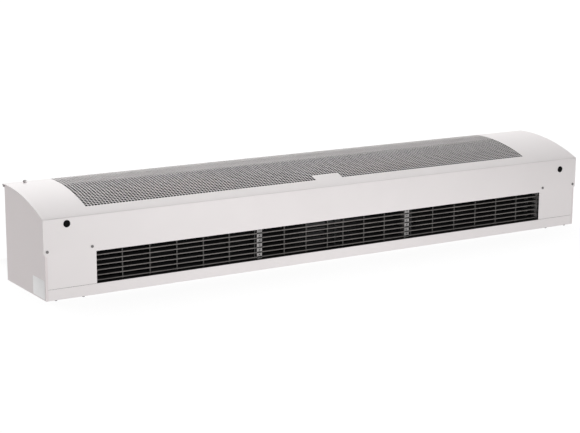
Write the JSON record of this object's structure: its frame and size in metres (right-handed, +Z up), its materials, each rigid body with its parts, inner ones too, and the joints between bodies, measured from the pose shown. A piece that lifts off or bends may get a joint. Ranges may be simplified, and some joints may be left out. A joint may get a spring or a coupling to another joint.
{
  "type": "air curtain",
  "caption": "Long wall-mounted air curtain: arched perforated intake cover, louvred front outlet, motor with cross-flow impellers and finned heating elements inside.",
  "frame": {"origin": "on the plane of the four pressed pads under the base, below the middle of the whole object", "axes": "+X along the casing to its right end, -Y out of the outlet, +Z up from the wall side to the intake"},
  "size_m": [1.6168, 0.2418, 0.2459],
  "materials": {
    "white_steel": "white powder coat, satin",
    "black_plastic": "moulded black",
    "screw_steel": "zinc-plated, head painted over",
    "label": "blank white foil",
    "grille_black": "black paint, semi-matt",
    "zinc_sheet": "galvanised sheet",
    "impeller": "black",
    "shaft_steel": "ground steel",
    "motor_can": "grey paint",
    "copper": "laminations with copper windings",
    "bronze": "sintered bronze",
    "rubber": "black rubber",
    "element_steel": "heat-darkened stainless steel",
    "white_plastic": "moulded white",
    "capacitor_can": "drawn can"
  },
  "bodies": {
    "root": {"base_tray": "white_steel", "end_panel_left": "white_steel", "end_panel_right": "white_steel", "front_side_plate_left": "white_steel", "front_side_plate_right": "white_steel", "top_cover": "white_steel", "hole_plugs": "black_plastic", "heater_contactor": "black_plastic", "cover_front_screws": "screw_steel", "cover_rear_screw": "screw_steel", "base_front_screws": "screw_steel", "plate_screws": "screw_steel", "blank_label": "label", "outlet_grille_left": "grille_black", "outlet_grille_centre": "grille_black", "outlet_grille_right": "grille_black", "grille_post_left": "zinc_sheet", "grille_post_right": "zinc_sheet", "grille_end_comb_left": "zinc_sheet", "grille_end_comb_right": "zinc_sheet", "vortex_tongue_left": "zinc_sheet", "vortex_tongue_right": "zinc_sheet", "scroll_left": "zinc_sheet", "scroll_right": "zinc_sheet", "duct_end_plate_left": "zinc_sheet", "duct_end_plate_right": "zinc_sheet", "motor_bay_plate_left": "zinc_sheet", "motor_bay_plate_right": "zinc_sheet", "motor_cradle": "zinc_sheet", "motor_strap_left": "zinc_sheet", "motor_strap_right": "zinc_sheet", "heater_support_left": "zinc_sheet", "heater_support_right": "zinc_sheet", "heater_support_mid_left": "zinc_sheet", "heater_support_mid_right": "zinc_sheet", "motor_bearing_left": "shaft_steel", "motor_bearing_right": "shaft_steel", "motor_housing": "motor_can", "motor_stator": "copper", "bearing_bush_left": "bronze", "bearing_bush_right": "bronze", "motor_rubber_ring_left": "rubber", "motor_rubber_ring_right": "rubber", "bearing_rubber_left": "rubber", "bearing_rubber_right": "rubber", "cable_grommets": "rubber", "heating_element_top": "element_steel", "heating_element_middle": "element_steel", "heating_element_bottom": "element_steel", "terminal_block": "white_plastic", "overheat_cutout": "white_plastic", "motor_capacitor": "capacitor_can"},
    "rotor": {"impeller_left": "impeller", "impeller_right": "impeller", "impeller_hub_left": "black_plastic", "impeller_hub_right": "black_plastic", "stub_shaft_left": "shaft_steel", "stub_shaft_right": "shaft_steel", "motor_shaft": "shaft_steel", "motor_rotor": "shaft_steel"}
  },
  "joints": [
    {"name": "rotor_spin", "type": "hinge", "parent": "root", "child": "rotor", "pos_m": [0, -0.0001, 0.131], "axis": [1, 0, 0], "continuous": true}
  ]
}
